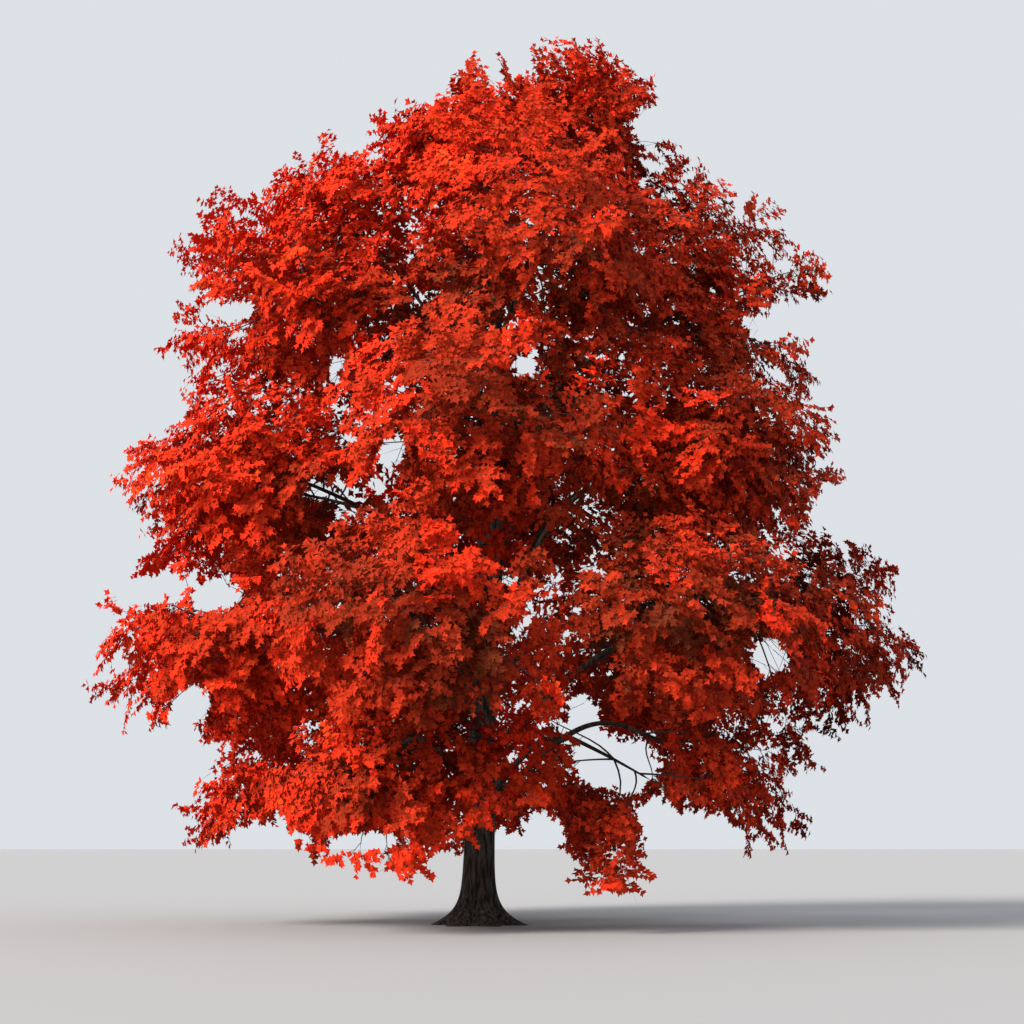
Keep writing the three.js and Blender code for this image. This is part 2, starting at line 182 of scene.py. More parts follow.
# name, masses, turn, zigzag, tilt, z and reach on the left and right, half size out/side/up,
# where boughs leave the trunk, climb, arrive, radius, droop and twigs
TIERS = [
    dict(name="skirt", masses=6, turn=10, zigzag=0.18, tilt=-22, z=(2.8, 3.1), reach=(5.65, 6.25),
         half=(1.95, 2.7, 1.35), leaves=(2.25, 3), climb=30, arrive=-20, radius=0.082, droop=0.6, twigs=4),
    dict(name="broad", masses=7, turn=2, zigzag=0, tilt=-1, z=(5.45, 5.7), reach=(7.65, 8.65),
         half=(2.7, 2.55, 1.9), leaves=(3.15, 4.9), climb=40, arrive=5, radius=0.104, droop=0.55, twigs=6),
    dict(name="middle", masses=6, turn=31, zigzag=0.2, tilt=14, z=(8.55, 9.15), reach=(7.45, 7.55),
         half=(2.85, 2.75, 2.05), leaves=(5.1, 6.7), climb=52, arrive=20, radius=0.088, droop=0.55,
         twigs=6),
    dict(name="upper", masses=5, turn=-1, zigzag=0.8, tilt=26, z=(12.45, 11.15), reach=(6.7, 6.95),
         half=(3, 2.4, 2.4), leaves=(7, 8.9), climb=60, arrive=38, radius=0.076, droop=0.5, twigs=5),
    dict(name="shoulder", masses=4, turn=12, zigzag=0, tilt=40, z=(13.75, 13.5), reach=(4.65, 5.65),
         half=(1.95, 2.2, 2), leaves=(9.2, 10.8), climb=66, arrive=52, radius=0.06, droop=0.4, twigs=5),
    dict(name="crest", masses=2, turn=10, zigzag=0.1, tilt=73, z=(15.7, 16.2), reach=(2.25, 3.9),
         half=(1.75, 2.2, 2), leaves=(11.5, 11.5), climb=66, arrive=70, radius=0.05, droop=0.3, twigs=6),
]
SIDES = ["right", "back_right", "back", "back_left", "left", "front_left", "front", "front_right"]


def draw(seed, n):
    """The same number from 0 to 1 every time for a pair of whole numbers: what is left of a large
    sine wave after its whole part is taken away."""
    run = (np.asarray(seed, float) + SEED) * DRAW_STEPS[0] + np.asarray(n, float) * DRAW_STEPS[1]
    wave = np.sin(run) * DRAW_HEIGHT
    return wave - np.floor(wave)


def unit(vectors):
    """Vectors divided by their lengths."""
    return vectors / np.maximum(np.linalg.norm(vectors, axis=-1, keepdims=True), 1e-9)


def heading(azimuth, elevation):
    """Unit vectors on azimuths, raised by elevations, both in radians."""
    level = np.cos(elevation)
    return np.stack([np.cos(azimuth) * level, np.sin(azimuth) * level, np.sin(elevation)], axis=-1)


def lerp(a, b, share):
    """The value a share of the way from a to b."""
    return a + (b - a) * share


class Mass:
    """The space of one mass of foliage: an ellipsoid with a middle, three directions and half sizes."""

    def __init__(self, tier, rank, seed):
        azimuth = math.radians(tier["turn"] + 360 * rank / tier["masses"])
        rightness = 0.5 + 0.5 * math.cos(azimuth)
        lift = -tier["zigzag"] if rank % 2 else tier["zigzag"]
        self.tier, self.rank, self.seed, self.azimuth = tier, rank, seed, azimuth
        self.name = f"{tier['name']}_{SIDES[round(azimuth / (math.pi / 4)) % len(SIDES)]}"
        self.half = np.array(tier["half"])
        self.middle = heading(azimuth, 0) * (lerp(*tier["reach"], rightness) - self.half[0])
        self.middle[2] = lerp(*tier["z"], rightness) + lift
        self.out = heading(azimuth, math.radians(tier["tilt"]))
        self.side = heading(azimuth + math.pi / 2, 0)
        self.up = np.cross(self.out, self.side)
        self.axes = np.stack([self.out, self.side, self.up], axis=1) / self.half

    def within(self, points):
        """How far out points lie in the ellipsoid, with its surface at 1."""
        return np.linalg.norm((points - self.middle) @ self.axes, axis=-1)

    def room_along(self, start, direction):
        """How far rays run from points inside before they leave the ellipsoid: the larger root of
        |from + t step| = 1 in the ellipsoid's own units."""
        came = (start - self.middle) @ self.axes
        step = direction @ self.axes
        a = (step**2).sum(-1)
        b = (came * step).sum(-1)
        c = (came**2).sum(-1) - 1
        root = (-b + np.sqrt(np.maximum(b * b - a * c, 0))) / a
        return np.where(c > 0, 0, root)


masses = []
for tier in TIERS:
    for rank in range(tier["masses"]):
        masses.append(Mass(tier, rank, len(masses) + 1))
print("masses", len(masses), "first", masses[0].name, "last", masses[-1].name)
assert all("leaves_" + mass.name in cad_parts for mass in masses)

# %% [markdown]
# Every new piece is a mesh that numpy works out as whole arrays. Two helpers put such arrays into
# Blender: one makes a piece from points and triangles, and one makes many tapering limbs at once,
# each a ring of points carried along a path and drawn together at its tip.

# %% Meshes from arrays
STEEP = 0.8


def piece(name, points, triangles, material, slot, stands_for=(), smooth=True):
    """A mesh object from an array of points and an array of triangles, riding on the tree."""
    mesh = bpy.data.meshes.new(name)
    mesh.vertices.add(len(points))
    mesh.vertices.foreach_set("co", points.astype(np.float32).ravel())
    mesh.loops.add(triangles.size)
    mesh.loops.foreach_set("vertex_index", triangles.astype(np.int32).ravel())
    mesh.polygons.add(len(triangles))
    mesh.polygons.foreach_set("loop_start", np.arange(0, triangles.size, 3, dtype=np.int32))
    mesh.polygons.foreach_set("use_smooth", np.full(len(triangles), smooth))
    mesh.materials.append(material)
    mesh.update(calc_edges=True)
    made = placed(name, mesh)
    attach(made, "root")
    if stands_for:
        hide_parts(*stands_for)
    print(f"{name}: {len(points)} points, {len(triangles)} triangles")


def across(directions):
    """Unit vectors square to directions, and to whichever of the Z and X axes each leans away from."""
    steep = np.abs(directions[..., 2:3]) > STEEP
    guide = np.where(steep, np.array([1.0, 0, 0]), UP)
    return unit(np.cross(guide, directions))


def walls(rings, sides):
    """The triangles between rings of points that are numbered ring by ring."""
    here = np.arange(sides)
    after = (here + 1) % sides
    low = np.arange(rings - 1)[:, None] * sides
    return np.concatenate([
        np.stack([low + here, low + after, low + sides + after], -1).reshape(-1, 3),
        np.stack([low + here, low + sides + after, low + sides + here], -1).reshape(-1, 3),
    ])


def fan(start, sides, point):
    """The triangles from a ring, whose first point has the number start, to one more point."""
    here = np.arange(sides)
    return np.stack([start + here, start + (here + 1) % sides, np.full(sides, point)], -1)


def limbs(paths, radii, sides, relief=None):
    """Many limbs at once. paths is (limbs, points, 3) and its last point is the tip; radii is
    (limbs, points - 1). Each ring stands square to the path, at path + radius (cos a first + sin a
    second), the last ring closes in the tip, and a fan closes the foot."""
    count, rings = paths.shape[0], paths.shape[1] - 1
    along = unit(np.gradient(paths, axis=1))
    chord = unit(paths[:, -1] - paths[:, 0])
    guide = across(chord)[:, None, :]
    first = unit(guide - (guide * along).sum(-1, keepdims=True) * along)[:, :-1]
    second = np.cross(along[:, :-1], first)
    angle = np.linspace(0, 2 * np.pi, sides, endpoint=False)
    radius = np.repeat(radii[..., None], sides, axis=-1)
    if relief is not None:
        radius = radius * relief(angle, rings)
    ring = np.cos(angle)[:, None] * first[:, :, None] + np.sin(angle)[:, None] * second[:, :, None]
    points = paths[:, :-1, None] + radius[..., None] * ring
    points = np.concatenate([points.reshape(count, -1, 3), paths[:, -1:]], axis=1)
    tip = fan((rings - 1) * sides, sides, rings * sides)
    foot = np.stack([np.zeros(sides - 2, int), np.arange(2, sides), np.arange(1, sides - 1)], -1)
    one = np.concatenate([walls(rings, sides), tip, foot])
    every = one[None] + (np.arange(count) * points.shape[1])[:, None, None]
    return points.reshape(-1, 3), every.reshape(-1, 3)


def tapering(paths, radius, tip_share, sides):
    """Limbs along paths whose radius falls evenly from the foot to a share of it at the tip."""
    taper = radius * lerp(1.0, tip_share, np.linspace(0, 1, paths.shape[1]))[:-1]
    return limbs(paths, np.tile(taper, (len(paths), 1)), sides)


def joined(parts):
    """Several (points, triangles) pairs as one."""
    starts = np.cumsum([0] + [len(points) for points, _ in parts[:-1]])
    triangles = [corners + start for (_, corners), start in zip(parts, starts)]
    return np.concatenate([points for points, _ in parts]), np.concatenate(triangles)


def bezier(controls, share):
    """Points on Bezier curves of any degree, by drawing each neighbour pair of control points
    together until one is left."""
    share = share[:, None]
    points = [np.asarray(control, float)[None] + 0 * share for control in controls]
    while len(points) > 1:
        points = [lerp(a, b, share) for a, b in zip(points, points[1:])]
    return points[0]


print("walls of a ring of six:", len(walls(2, 6)), "triangles")

# %% [markdown]
# Shader maths reads best as plain sums. This small class wraps a socket of a material, so that an
# expression such as 1 - mask adds the Math node that it needs, and one method adds any other node.

# %% Shader maths
class Socket:
    """An output socket of one material, with Python's operators as Math nodes."""

    def __init__(self, tree, socket):
        self.tree = tree
        self.socket = socket

    def node(self, kind, settings=None, out=0, **values):
        """Adds a node: its settings are set first, then its sockets by name, a space written as _."""
        made = self.tree.nodes.new(kind)
        for key, value in (settings or {}).items():
            setattr(made, key, value)
        for key, value in values.items():
            wanted = [s for s in made.inputs if s.name.replace(" ", "_") == key and s.enabled][0]
            self.put(wanted, value)
        return Socket(self.tree, made.outputs[out])

    def put(self, wanted, value):
        """Links a socket or sets a plain value."""
        if isinstance(value, Socket):
            self.tree.links.new(value.socket, wanted)
        else:
            wanted.default_value = value

    def maths(self, operation, a, b):
        """One Math node on two numbers or sockets."""
        made = self.tree.nodes.new("ShaderNodeMath")
        made.operation = operation
        self.put(made.inputs[0], a)
        self.put(made.inputs[1], b)
        return Socket(self.tree, made.outputs[0])

    def __add__(self, other):
        return self.maths("ADD", self, other)

    def __rsub__(self, other):
        return self.maths("SUBTRACT", other, self)

    def __mul__(self, other):
        return self.maths("MULTIPLY", self, other)

    def __rmul__(self, other):
        return self.maths("MULTIPLY", other, self)

    def smoothly(self, low, high):
        """0 below low, 1 above high, and eased between them."""
        return self.node("ShaderNodeMapRange", {"interpolation_type": "SMOOTHSTEP"},
                         Value=self, From_Min=low, From_Max=high)

    def mixed(self, dark, light):
        """A colour from dark at 0 to light at 1; each is a colour or a socket."""
        made = self.tree.nodes.new("ShaderNodeMix")
        made.data_type = "RGBA"
        self.put(made.inputs["Factor"], self)
        colours = [s for s in made.inputs if s.type == "RGBA"]
        self.put(colours[0], dark)
        self.put(colours[1], light)
        return Socket(self.tree, [s for s in made.outputs if s.type == "RGBA"][0])


print("a socket adds, multiplies, eases and mixes")

# %% [markdown]
# Maple bark is dark grey-brown. On the bole it breaks into long upright plates with near-black
# furrows between them, partly darker bark and partly painted shade in the cracks; a little lichen
# lightens the plates, and the thin limbs are smoother and darker.
# The pattern is noise that is stretched upwards by squeezing its height, so it fits the relief
# that the meshes carry.

# %% Bark material
# the furrow colour is partly darker bark and partly painted shade in the cracks
SHADED_FURROW = (0.008, 0.006, 0.005, 1)
PLATE = (0.050, 0.037, 0.029, 1)
PALE_PLATE = (0.100, 0.080, 0.064, 1)
LICHEN = (0.085, 0.088, 0.062, 1)
TWIG_BARK = (0.022, 0.014, 0.011, 1)
BARK_STRETCH = 6
BROAD_WAVES = 1.3
FINER_GRAIN = 6
PLATE_EDGES = (0.38, 0.62)
PALE_EDGES = (0.35, 0.75)
LICHEN_EDGES = (0.55, 0.72)
LICHEN_MOST = 0.7
FURROW_ROUGHNESS = 0.95
PLATE_SMOOTHER = 0.18
BARK_GLOSS = 0.25
PLATE_BUMP, GRAIN_BUMP = 0.7, 0.3
BUMP_STRENGTH = 0.9
TWIG_ROUGHNESS = 0.8


def bark_material(name, grain, pale, depth):
    """Bark with upright plates: noise at grain waves to the metre across and BARK_STRETCH times fewer
    along the height. pale is how much the plates lighten, and depth the height of the bump in metres."""
    material = bpy.data.materials.new(name)
    material.use_nodes = True
    tree = material.node_tree
    shader = tree.nodes["Principled BSDF"]
    start = Socket(tree, None)
    place = start.node("ShaderNodeTexCoord", out=3)
    stretched = start.node("ShaderNodeMapping", Vector=place, Scale=(1, 1, 1 / BARK_STRETCH))
    plates = start.node("ShaderNodeTexNoise", Vector=stretched, Scale=grain, Detail=5.0, Roughness=0.6)
    broad = start.node("ShaderNodeTexNoise", Vector=place, Scale=BROAD_WAVES, Detail=3.0)
    fine = start.node("ShaderNodeTexNoise", Vector=stretched, Scale=grain * FINER_GRAIN, Detail=3.0)
    ridge = plates.smoothly(*PLATE_EDGES)
    mottled = (fine * 0.5 + broad * 0.5).smoothly(*PALE_EDGES)
    plate = mottled.mixed(PLATE, PALE_PLATE if pale else PLATE)
    mossy = (broad.smoothly(*LICHEN_EDGES) * pale * LICHEN_MOST).mixed(plate, LICHEN)
    # painted shade, in part: the furrows between the plates are near black
    colour = ridge.mixed(SHADED_FURROW, mossy)
    shader.inputs["Specular IOR Level"].default_value = BARK_GLOSS
    start.put(shader.inputs["Base Color"], colour)
    start.put(shader.inputs["Roughness"], FURROW_ROUGHNESS - PLATE_SMOOTHER * ridge)
    height = ridge * PLATE_BUMP + fine * GRAIN_BUMP
    bump = start.node("ShaderNodeBump", Height=height, Distance=depth, Strength=BUMP_STRENGTH)
    start.put(shader.inputs["Normal"], bump)
    return material


trunk_bark = bark_material("trunk_bark", grain=17.0, pale=1.0, depth=0.018)
bough_bark = bark_material("bough_bark", grain=26.0, pale=0.0, depth=0.008)
twig_bark = plain_material("twig_bark", TWIG_BARK, TWIG_ROUGHNESS)
print("bark materials", [m.name for m in (trunk_bark, bough_bark, twig_bark)])

# %% [markdown]
# The trunk is one surface over two parameters, the angle round it and the height. The same formula
# as the solid's gives its taper, its lean and the root ridges. Bark relief is added to the radius:
# a sum of waves that run round the trunk a whole number of times, so the two edges of the surface
# meet, folded into sharp furrows by taking how far the sum is from zero.

# %% Trunk
TRUNK_SIDES = 132
TRUNK_RINGS = 240
RINGS_LOW = 0.75
RINGS_GATHER = 2.2
PLATE_DEPTH = 0.020
LEAST_DEPTH, MOST_DEPTH = 0.3, 1.3
RELIEF_WAVES = 26
RELIEF_TURNS = (7, 22)
RELIEF_CLIMBS = (0.5, 4.0)
RELIEF_WIDENS = 1.6
RELIEF_FLATTENS = 0.6
rng = np.random.default_rng(SEED)


def trunk_axis(z):
    """Points on the trunk's axis at heights z: x and y ease from station to station."""
    z = np.asarray(z, float)
    above = np.clip(np.searchsorted(TRUNK_AXIS[:, 2], z, side="right"), 1, len(TRUNK_AXIS) - 1)
    low, high = TRUNK_AXIS[above - 1], TRUNK_AXIS[above]
    share = np.clip((z - low[..., 2]) / (high[..., 2] - low[..., 2]), 0, 1)
    eased = share**2 * (3 - 2 * share)
    level = lerp(low[..., :2], high[..., :2], eased[..., None])
    return np.concatenate([level, z[..., None]], axis=-1)


def bole_radius(z):
    """The trunk's radius without its roots: it narrows by a power of the height that is left."""
    left = np.clip(1 - np.asarray(z, float) / TRUNK_TOP, 0, 1)
    return TRUNK_TIP_RADIUS + (TRUNK_RADIUS - TRUNK_TIP_RADIUS) * left**TRUNK_TAPER


def trunk_radius(z, angle):
    """The bole's radius and the root ridges: bells round each root's angle that die away upwards."""
    ridge = np.zeros(np.broadcast(z, angle).shape)
    for root in range(ROOTS["count"]):
        shift = ROOTS["shift"] * lerp(-1, 1, draw(DRAWS["root_shift"], root))
        runs = (root + shift) * 2 * math.pi / ROOTS["count"]
        apart = np.arctan2(np.sin(angle - runs), np.cos(angle - runs))
        size = lerp(ROOTS["smallest"], 1, draw(DRAWS["root_size"], root))
        ridge = ridge + size * np.exp(-((apart / ROOTS["width"]) ** 2))
    web = ROOTS["web"] + (1 - ROOTS["web"]) * ridge
    return bole_radius(z) + ROOTS["spread"] * np.exp(-z / ROOTS["rise"]) * web


def bark_relief(z, angle, turns, climbs):
    """Furrows at 0 and plates up to 1: how far a sum of waves lies from zero, widened and flattened.
    turns is how often the waves go round, and climbs how fast they change with height."""
    wave = np.zeros(np.broadcast(z, angle).shape)
    for _ in range(RELIEF_WAVES):
        around = rng.integers(*turns) * rng.choice([-1, 1])
        wave = wave + np.cos(around * angle + rng.uniform(*climbs) * z + rng.uniform(0, 2 * math.pi))
    return np.clip(np.abs(wave) / math.sqrt(RELIEF_WAVES) * RELIEF_WIDENS, 0, 1) ** RELIEF_FLATTENS


share = np.linspace(0, 1, TRUNK_RINGS)[:, None]
heights = TRUNK_TOP * ((1 - RINGS_LOW) * share + RINGS_LOW * share**RINGS_GATHER)
angles = np.linspace(0, 2 * math.pi, TRUNK_SIDES, endpoint=False)[None, :]
radius = trunk_radius(heights, angles)
plates = bark_relief(heights, angles, RELIEF_TURNS, RELIEF_CLIMBS)
radius = radius - PLATE_DEPTH * (1 - plates) * np.clip(radius / TRUNK_RADIUS, LEAST_DEPTH, MOST_DEPTH)
axis = trunk_axis(heights[:, 0])[:, None]
ring = np.stack([np.cos(angles), np.sin(angles), 0 * angles], axis=-1)
surface = axis + radius[..., None] * ring
trunk_ends = trunk_axis(np.array([0.0, TRUNK_TOP]))
points = np.concatenate([surface.reshape(-1, 3), trunk_ends])
count = TRUNK_RINGS * TRUNK_SIDES
triangles = np.concatenate([
    walls(TRUNK_RINGS, TRUNK_SIDES),
    fan(0, TRUNK_SIDES, count)[:, [1, 0, 2]],
    fan(count - TRUNK_SIDES, TRUNK_SIDES, count + 1),
])
piece("trunk_with_bark", points, triangles, trunk_bark, "bark", ["trunk"])

# %% [markdown]
# Each bough leaves the trunk rising, and bends over to its mass: a cubic curve with the direction
# of climb at its foot and the mass's own direction at its tip. It swells into a collar where it
# meets the trunk. A ring with shallow ridges is carried along it.

# %% Boughs
BOUGH_SIDES = 16
BOUGH_POINTS = 42
BOUGH_RELIEF = 0.07
BOUGH_WINDS = 7
TIP_OVERLAP = 0.08


def bough_controls(mass):
    """The four control points of a bough, from inside the trunk to the edge of its mass."""
    tier = mass.tier
    share = (mass.rank * GOLDEN_SECTION) % 1
    start = trunk_axis(lerp(*tier["leaves"], share))
    end = mass.middle - STEM_IN * mass.half[0] * mass.out
    hold = BOUGH_HOLD * np.linalg.norm(end - start)
    towards = math.atan2(end[1] - start[1], end[0] - start[0])
    rises = heading(towards, math.radians(tier["climb"]))
    arrives = heading(mass.azimuth, math.radians(tier["arrive"]))
    return [start, start + rises * hold, end - arrives * hold, end]


def bough_relief(angle, rings):
    """Shallow ridges along a bough: two sets of waves round it that wind slowly as they run."""
    run = np.linspace(0, BOUGH_WINDS, rings)[:, None]
    waves = 0.5 + 0.3 * np.cos(5 * angle + run) + 0.2 * np.cos(7 * angle - 2.3 * run)
    return 1 - BOUGH_RELIEF * waves


bough_parts = []
tips = {}
for mass in masses:
    if mass.name == "crest_left":
        tips[mass.name] = (trunk_ends[1], UP, TRUNK_TIP_RADIUS)
        continue
    controls = bough_controls(mass)
    share = np.linspace(0, 1, BOUGH_POINTS)
    path = bezier(controls, share)
    path = np.concatenate([path, path[-1:] + TIP_OVERLAP * unit(path[-1:] - path[-2:-1])])
    collar = 1 + COLLAR * np.exp(-share / COLLAR_SHARE)
    thick = mass.tier["radius"] * lerp(1, BOUGH_TIP_SHARE, share) * collar
    bough_parts.append(limbs(path[None], thick[None], BOUGH_SIDES, bough_relief))
    tips[mass.name] = (controls[3], unit(controls[3] - controls[2]), thick[-1])
bough_nodes = ["bough_" + mass.name for mass in masses if mass.name != "crest_left"]
piece("boughs_with_bark", *joined(bough_parts), bough_bark, "bark", bough_nodes)

# %% [markdown]
# A crown is not an even ball. Seen from the front, this one has openings, notches in its edge and
# lobes that stand out. They are ellipses at the trunk's distance from the camera, in steps of five
# centimetres: twigs and leaves keep out of the gaps, and twigs reach farther in the lobes.

# %% Openings and lobes
GAP_RAGGED = 0.22
GAP_WAVES = 9
# each row is a middle's x and z, a half width and a half height; a lobe's last number is its depth
GAPS = np.array([
    (2.05, 3.95, 0.35, 0.45), (2.75, 3.1, 0.7, 0.5), (4.1, 1.75, 0.95, 0.5), (5.7, 5.2, 0.45, 0.35),
    (-5.25, 6.4, 0.55, 0.35), (-6.4, 6.65, 0.9, 0.2), (-5.15, 12.2, 0.5, 0.25), (-2.9, 11.05, 0.15, 0.35),
    (0.9, 11.05, 0.25, 0.25), (-2.65, 9.6, 0.2, 0.1), (-3.2, 8.45, 0.35, 0.15), (5.8, 11.9, 0.45, 0.3),
    (-1.65, 9.4, 0.2, 0.2), (0.6, 6.7, 0.2, 0.1), (0.7, 5.7, 0.15, 0.1), (-4.65, 1.1, 1.3, 0.5),
    (-6.35, 3.1, 1.15, 0.7), (7.25, 11.0, 0.45, 0.7), (-5.65, 4.2, 0.45, 0.4), (-4.1, 1.65, 0.75, 0.3),
    (1.2, 1.6, 0.5, 0.6), (3.45, 16.1, 0.35, 0.45), (3.5, 2.1, 0.5, 0.25), (-1.4, 17.2, 0.75, 0.6),
    (-6.35, 12.8, 0.4, 0.6), (-6.65, 10.3, 0.9, 0.45), (-7.4, 6.75, 0.6, 0.3), (8.8, 6.05, 0.45, 0.45),
    (6.75, 12.05, 0.55, 0.3), (7.5, 9.8, 0.3, 0.75), (-3.6, 15.75, 0.3, 0.35), (-2.6, 15.85, 0.25, 0.3),
    (3.4, 17.5, 0.3, 0.3), (4.0, 16.0, 0.3, 0.2), (-2.15, 1.6, 0.8, 0.2), (0.5, 1.55, 0.25, 0.3),
    (-2.55, 0.6, 0.55, 0.35), (-1.7, 0.6, 0.55, 0.4), (-3.4, 1.0, 0.4, 0.3),
])
LOBES = np.array([
    (-5.35, 13.6, 0.8, 1.2, 3), (-5.7, 11.5, 0.8, 0.6, 3), (-6.85, 9.4, 0.6, 0.45, 3),
    (-6.8, 8.15, 0.5, 0.4, 3), (-6.3, 7.2, 0.8, 0.4, 3), (-7.1, 4.9, 0.5, 0.75, 3),
    (-5.4, 1.95, 0.6, 0.3, 3), (-2.0, 1.2, 1.0, 0.35, 6), (-0.75, 1.4, 0.35, 0.4, 6),
    (2.6, 1.1, 0.75, 0.45, 6), (5.7, 14.3, 0.35, 0.5, 3), (6.4, 13.0, 0.65, 0.6, 3),
    (6.2, 11.9, 0.35, 0.6, 3), (6.9, 9.7, 0.4, 0.7, 3), (7.35, 7.1, 1.0, 0.55, 3),
    (8.0, 5.4, 0.55, 1.0, 3), (6.0, 3.4, 0.45, 0.6, 3), (5.65, 2.1, 0.7, 0.8, 3),
    (0.2, 17.3, 0.45, 0.35, 1.5), (-3.0, 15.65, 0.3, 0.45, 3), (0.3, 7.9, 0.9, 0.9, 7),
    (0.2, 4.0, 0.8, 0.9, 7), (1.4, 6.1, 0.6, 0.6, 7), (3.9, 15.2, 0.5, 0.5, 3),
    (-4.95, 14.3, 0.7, 0.55, 3), (5.7, 14.25, 0.45, 0.55, 3), (1.3, 5.0, 0.35, 1.0, 7),
    (3.1, 4.2, 0.6, 0.35, 7), (5.8, 3.45, 0.5, 0.5, 5), (-6.35, 7.15, 0.65, 0.35, 3),
    (-2.05, 1.05, 1.0, 0.25, 6), (-3.2, 1.45, 0.3, 0.3, 6), (-5.7, 1.95, 0.35, 0.25, 3),
    (2.4, 6.95, 0.7, 0.3, 7), (0.0, 17.55, 0.6, 0.3, 1.5), (6.3, 13.05, 0.5, 0.5, 3),
])


def ellipse_sums(points, ellipses):
    """How far points lie from the middles of ellipses, in their own half sizes. An ellipse stands at
    the trunk's distance from the camera: its middle x and z, and its half width and height."""
    ahead = EYE + (points - EYE) * (EYE[1] / (EYE[1] - points[..., 1:2]))
    x, z = ahead[..., :1], ahead[..., 2:]
    return np.hypot((x - ellipses[:, 0]) / ellipses[:, 2], (z - ellipses[:, 1]) / ellipses[:, 3])


def in_a_gap(points, least=0.0, share=1.0):
    """Whether points, seen from the camera, lie in one of the gaps in the crown, whose edges are
    ragged. Only gaps of at least the given half width count, and only that share of their size."""
    gaps = GAPS[GAPS[:, 2] >= least]
    edge = share + GAP_RAGGED * np.sin(points.sum(-1, keepdims=True) * GAP_WAVES)
    return (ellipse_sums(points, gaps) < edge).any(axis=-1)


def in_a_lobe(points):
    """Whether points lie in one of the lobes: in its ellipse, and no farther before or behind the
    trunk than its last number says."""
    near = np.abs(points[..., 1:2]) < LOBES[:, 4]
    return (near & (ellipse_sums(points, LOBES) < 1)).any(axis=-1)


print("gaps", len(GAPS), "lobes", len(LOBES))

# %% [markdown]
# Every mass keeps to its own space, so that neighbours do not grow through each other: its
# ellipsoid and a little over, its side of the plane that parts it from each neighbour, and above
# the lowest leaf. Where the crown has a lobe, the space reaches farther.

# %% The space of a mass
SPACE_EDGE = 1.10
LOBE_EDGE = 1.45


def share_over(mass, other, points):
    """How far points lie into a mass's own side of the plane that parts it from another, which
    stands nearer to the smaller of the two."""
    between = other.middle - mass.middle
    apart = np.linalg.norm(between)
    border = (apart**2 + mass.half[0] * mass.half[1] - other.half[0] * other.half[1]) / (2 * apart)
    return border - (points - mass.middle) @ (between / apart)


def holds(mass, points):
    """Whether points lie in a mass's own space, above the lowest leaf."""
    edge = np.where(in_a_lobe(points), LOBE_EDGE, SPACE_EDGE)
    inside = (points[..., 2] > LOWEST_LEAF) & (mass.within(points) < edge)
    for other in masses:
        if other is not mass and np.linalg.norm(other.middle - mass.middle) < NEAR:
            inside &= share_over(mass, other, points) > 0
    return inside


print("a space ends at", SPACE_EDGE, "half sizes, and at", LOBE_EDGE, "in a lobe")

# %% [markdown]
# Inside its space a mass branches as the solids do, only finer. The stem goes on from the bough's
# tip. Twigs leave it one after the other, each turned on by the golden angle so that no two lie
# over each other, and they stop short of the surface of the space by most of a spray. A few twigs
# more are led to places of their own, where the rule alone leaves the crown thinner than it is. No
# twig is straight: it sags, and winds a little from side to side.

# %% Stems and twigs
FINER = 3.3
SPRAY_LENGTH = 1.0
SPRAY_VARY = 0.18
STEM_POINTS, STEM_SIDES = 10, 7
STEM_HOLD = 0.5
WOOD_TIP_SHARE = 0.35
TWIG_SAG = 0.10
TWIG_WIND = 0.05
LOBE_REACH = 0.6
LOBE_STEPS = 2
WIDE_GAP = 0.6
TWIG_MOST = 0.85
TWIG_CHECKS = (0.15, 0.3, 0.45, 0.6, 0.75)
TWIG_CLEAR = 0.8
EXTRA_TWIGS = np.array([
    (-5.2, 0, 14.0), (-4.6, 0, 14.1), (-3.1, 0, 15.8), (5.7, 0, 14.5), (6.4, 0, 13.05), (3.9, 0, 15.2),
    (-6.1, 0, 7.7), (5.7, 0, 3.5), (-1.9, -5, 1.95), (-1.1, -5, 1.95), (-2.7, -3, 1.8), (-4.9, 0, 2.35),
    (-0.2, 0, 17.0), (0.3, -4, 7.3), (1.5, -4, 5.8), (1.7, -4, 6.3), (2.3, -4, 6.9), (1.2, -4, 4.9),
    (1.1, -4, 4.0), (1.0, -4, 3.0), (0.2, -4, 3.3), (7.3, 0, 5.3), (7.4, 0, 6.7), (0.2, -3, 8.4),
    (-6.6, 0, 9.5), (-5.6, 0, 12.1), (-5.8, 0, 11.0), (2.5, -4, 1.4), (0.4, -4, 8.0), (4.6, -1.5, 13.2),
    (5.0, -1, 12.3), (4.2, -2, 14.1), (3.3, -3, 12.4), (4.3, -3, 11.4), (2.2, -3, 12.0), (5.4, -2, 11.2),
    (1.5, -4, 10.6), (3.0, -4, 10.8), (-5.2, -1, 13.7), (-5.0, 1, 14.3), (5.0, 0, 14.0), (5.1, -1, 13.6),
    (6.4, 0, 11.4), (6.5, 0, 7.4), (6.1, 0, 3.9), (-6.5, 0, 7.6), (-7.0, 0, 4.9), (-1.9, -5, 1.55),
    (-1.4, -5, 1.5),
])
EXTRA_START = 0.5

nearest_mass = np.argmin([mass.within(EXTRA_TWIGS) for mass in masses], axis=0)


def on_twig(at, heads, reach, share):
    """Points at a share of each twig, which sags by the square of the share, and winds to one side
    and the other by a full wave."""
    share = np.broadcast_to(share, reach.shape)
    down = TWIG_SAG * reach * share**2
    aside = TWIG_WIND * reach * np.sin(2 * np.pi * share)
    level = unit(np.cross(UP, heads))
    return at + heads * (reach * share)[:, None] - UP * down[:, None] + level * aside[:, None]


